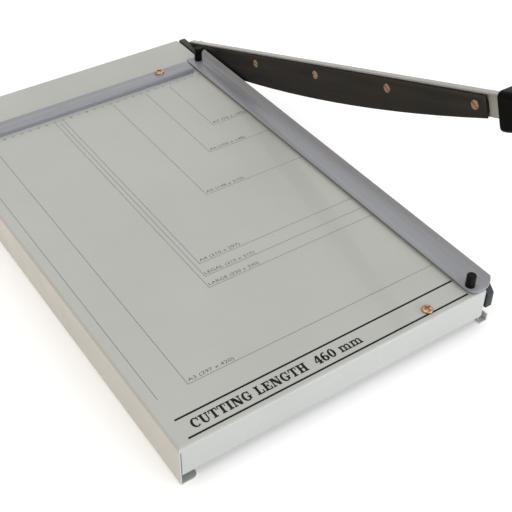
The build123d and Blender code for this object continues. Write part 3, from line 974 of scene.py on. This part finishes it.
class CUTTER_OT_blade(bpy.types.Operator):
    """Dark blade, ground along its length, with a softened edge"""

    bl_idname = "cutter.blade"
    bl_label = "Blade"

    def execute(self, context):
        metal = context.scene.cutter_metal
        dark = steel(
            "blade_dark_steel", metal.blade, 0.40, turn=(ARM_ANGLE, 0.0, 0.0),
            stretch=(900.0, 14.0, 700.0), metallic=0.6,
        )
        new_piece(
            "blade_plate", softened("blade", 0.0002), dark, "arm_body", "blade_steel", "blade",
        )
        return {"FINISHED"}


class CUTTER_OT_screws(bpy.types.Operator):
    """Coppered screws in the table, the fence and the blade"""

    bl_idname = "cutter.screws"
    bl_label = "Coppered screws"

    def execute(self, context):
        sizes = context.scene.cutter_screws
        copper = plating("screw_copper", context.scene.cutter_metal.copper, 0.24)
        for node, name, seed in (
            ("fence_screws", "fence_pan_screws", 3), ("front_spring_screw", "table_pan_screw", 8),
        ):
            boxes = boxes_of_solids(node)
            low, high = boxes[0]
            shank = high.z - low.z - sizes.pan_height
            screw = pan_screw(sizes.pan_radius, sizes.pan_height, sizes.recess, shank)
            points = [((a.x + b.x) / 2, (a.y + b.y) / 2, b.z - sizes.pan_height) for a, b in boxes]
            new_piece(
                name, screws_at(points, screw, (0.0, 0.0, 0.0), seed, copper), copper, "base",
                "copper_screw", node,
            )
        boxes = boxes_of_solids("blade_screws")
        low, high = boxes[0]
        screw = slotted_screw(sizes.sunk_radius, high.x - low.x)
        points = [(a.x, (a.y + b.y) / 2, (a.z + b.z) / 2) for a, b in boxes]
        new_piece(
            "blade_slotted_screws",
            screws_at(points, screw, (0.0, -pi / 2, 0.0), 5, copper), copper, "arm_body",
            "copper_screw", "blade_screws",
        )
        return {"FINISHED"}


class CUTTER_OT_handle(bpy.types.Operator):
    """Moulded handle with its screws"""

    bl_idname = "cutter.handle"
    bl_label = "Handle"

    def execute(self, context):
        metal = context.scene.cutter_metal
        paint_node("handle", moulded("handle_plastic", metal.plastic, 0.30, 1200.0, 0.06))
        paint_node("handle_screws", plating("handle_screw_zinc", metal.zinc, 0.3))
        paint_node("handle_nuts", plating("handle_nut_zinc", metal.zinc, 0.34))
        return {"FINISHED"}


class CUTTER_OT_fittings(bpy.types.Operator):
    """Pivot, leaf springs and nuts under the table"""

    bl_idname = "cutter.fittings"
    bl_label = "Pivot and springs"

    def execute(self, context):
        metal = context.scene.cutter_metal
        zinc = plating("fitting_zinc", metal.zinc, 0.3)
        for node in (
            "pivot_bolt", "pivot_washer", "pivot_lock_nut", "fence_nuts", "front_spring_nut",
        ):
            paint_node(node, zinc)
        spring = steel("leaf_steel", metal.spring, 0.34, stretch=(30.0, 900.0, 900.0))
        paint_node("wave_washer", spring)
        for node, name in (("front_leaf_spring", "front_leaf"), ("rear_leaf_spring", "rear_leaf")):
            leaf = new_piece(name, softened(node, 0.0001), spring, None, "spring_steel", node)
            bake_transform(leaf)
        return {"FINISHED"}


# ------------------------------------------------------------------ stage
FLOOR_REACH = 25.0
AIM = DATUM + Vector((-0.1595503, -0.3173647, 0.0))
SENSOR_WIDTH = 36.0
# each light's setting, place from the table's middle, size and colour
LIGHTS = (
    ("key", (-0.8, -0.2, 1.75), (1.6, 1.6), (1.0, 0.995, 0.985)),
    ("front", (1.0, -1.8, 0.38), (3.0, 0.8), (0.66, 0.80, 1.0)),
    ("edge", (0.75, -1.75, 0.32), (1.3, 0.6), (0.84, 0.92, 1.0)),
    ("side", (-1.3, -0.1, 0.03), (1.4, 0.09), (1.0, 0.60, 0.22)),
)


def lay_floor(glow):
    """A wide pale floor that glows a little."""
    work = bmesh.new()
    bmesh.ops.create_grid(work, x_segments=1, y_segments=1, size=FLOOR_REACH)
    mesh = mesh_from(work, "floor")
    floor = scratch_object("floor", mesh)
    shader = Shader("floor_white")
    pale = shader.spread(shader.noise(3.0), 0.0, 1.0)
    shader.feed("Base Color", shader.blend(pale, (0.93, 0.93, 0.93), (0.96, 0.96, 0.96)))
    shader.set("Roughness", 0.9)
    shader.set("Emission Color", (1.0, 1.0, 1.0, 1.0))
    shader.set("Emission Strength", glow)
    mesh.materials.append(shader.material)


def surround(strength):
    """White surroundings that turn to a dim tan on the left of the cutter."""
    world = bpy.data.worlds.new("white_surroundings")
    world.use_nodes = True
    tree = world.node_tree
    sky = tree.nodes["Background"]
    sky.inputs["Strength"].default_value = strength
    direction = tree.nodes.new("ShaderNodeTexCoord")
    parts = tree.nodes.new("ShaderNodeSeparateXYZ")
    share = tree.nodes.new("ShaderNodeMapRange")
    share.inputs["From Min"].default_value = -0.9
    share.inputs["From Max"].default_value = 0.2
    shade = tree.nodes.new("ShaderNodeMix")
    shade.data_type = "RGBA"
    shade.inputs[MIX_FIRST].default_value = (0.30, 0.25, 0.19, 1.0)
    shade.inputs[MIX_SECOND].default_value = (1.0, 1.0, 1.0, 1.0)
    tree.links.new(direction.outputs["Generated"], parts.inputs["Vector"])
    tree.links.new(parts.outputs["X"], share.inputs["Value"])
    tree.links.new(share.outputs["Result"], shade.inputs["Factor"])
    tree.links.new(shade.outputs[MIX_RESULT], sky.inputs["Color"])
    bpy.context.scene.world = world


def hang_light(name, power, place, size, colour):
    """A soft rectangular light that points at the middle of the table."""
    data = bpy.data.lights.new(name, "AREA")
    data.shape = "RECTANGLE"
    data.size, data.size_y = size
    data.energy = power
    data.color = colour
    lamp = scratch_object(name, data)
    lamp.location = (TABLE_LOW + TABLE_HIGH) / 2 + Vector(place)
    lamp.rotation_euler = (-Vector(place)).to_track_quat("-Z", "Y").to_euler()
    lamp.visible_camera = False


def set_camera(settings):
    """A camera at the given angles and distance from the aim."""
    data = bpy.data.cameras.new("camera")
    data.lens = settings.lens
    data.sensor_width = SENSOR_WIDTH
    camera = scratch_object("camera", data)
    turn = (
        Matrix.Rotation(settings.azimuth, 4, "Z")
        @ Matrix.Rotation(pi / 2 - settings.elevation, 4, "X")
        @ Matrix.Rotation(settings.roll, 4, "Z")
    )
    camera.matrix_world = Matrix.Translation(AIM + turn.col[2].xyz * settings.distance) @ turn
    bpy.context.scene.camera = camera


class CUTTER_OT_stage(bpy.types.Operator):
    """Floor, surroundings, soft lights and camera"""

    bl_idname = "cutter.stage"
    bl_label = "Stage"

    def execute(self, context):
        settings = context.scene.cutter_stage
        lay_floor(settings.floor_glow)
        surround(settings.sky)
        for name, place, size, colour in LIGHTS:
            hang_light(name, getattr(settings, name), place, size, colour)
        set_camera(settings)
        context.scene.view_settings.view_transform = "Standard"
        return {"FINISHED"}


OPERATORS = (
    CUTTER_OT_table, CUTTER_OT_outlines, CUTTER_OT_words, CUTTER_OT_bars, CUTTER_OT_studs,
    CUTTER_OT_bed_knife, CUTTER_OT_arm, CUTTER_OT_blade, CUTTER_OT_screws, CUTTER_OT_handle,
    CUTTER_OT_fittings, CUTTER_OT_stage,
)


class CUTTER_PT_panel(bpy.types.Panel):
    """The pieces and the stage, in the order in which they are made"""

    bl_idname = "CUTTER_PT_panel"
    bl_label = "Guillotine paper cutter"
    bl_space_type = "VIEW_3D"
    bl_region_type = "UI"
    bl_category = "Cutter"

    def draw(self, context):
        for operator in OPERATORS:
            self.layout.operator(operator.bl_idname)
        for name, group in GROUPS:
            box = self.layout.box()
            for key in group.__annotations__:
                box.prop(getattr(context.scene, name), key)


def register():
    for name, group in GROUPS:
        bpy.utils.register_class(group)
        setattr(bpy.types.Scene, name, PointerProperty(type=group))
    for operator in OPERATORS:
        bpy.utils.register_class(operator)
    bpy.utils.register_class(CUTTER_PT_panel)


def unregister():
    bpy.utils.unregister_class(CUTTER_PT_panel)
    for operator in reversed(OPERATORS):
        bpy.utils.unregister_class(operator)
    for name, group in reversed(GROUPS):
        delattr(bpy.types.Scene, name)
        bpy.utils.unregister_class(group)


def main():
    register()
    for operator in OPERATORS:
        group, name = operator.bl_idname.split(".")
        getattr(getattr(bpy.ops, group), name)()


if __name__ == "__main__":
    main()
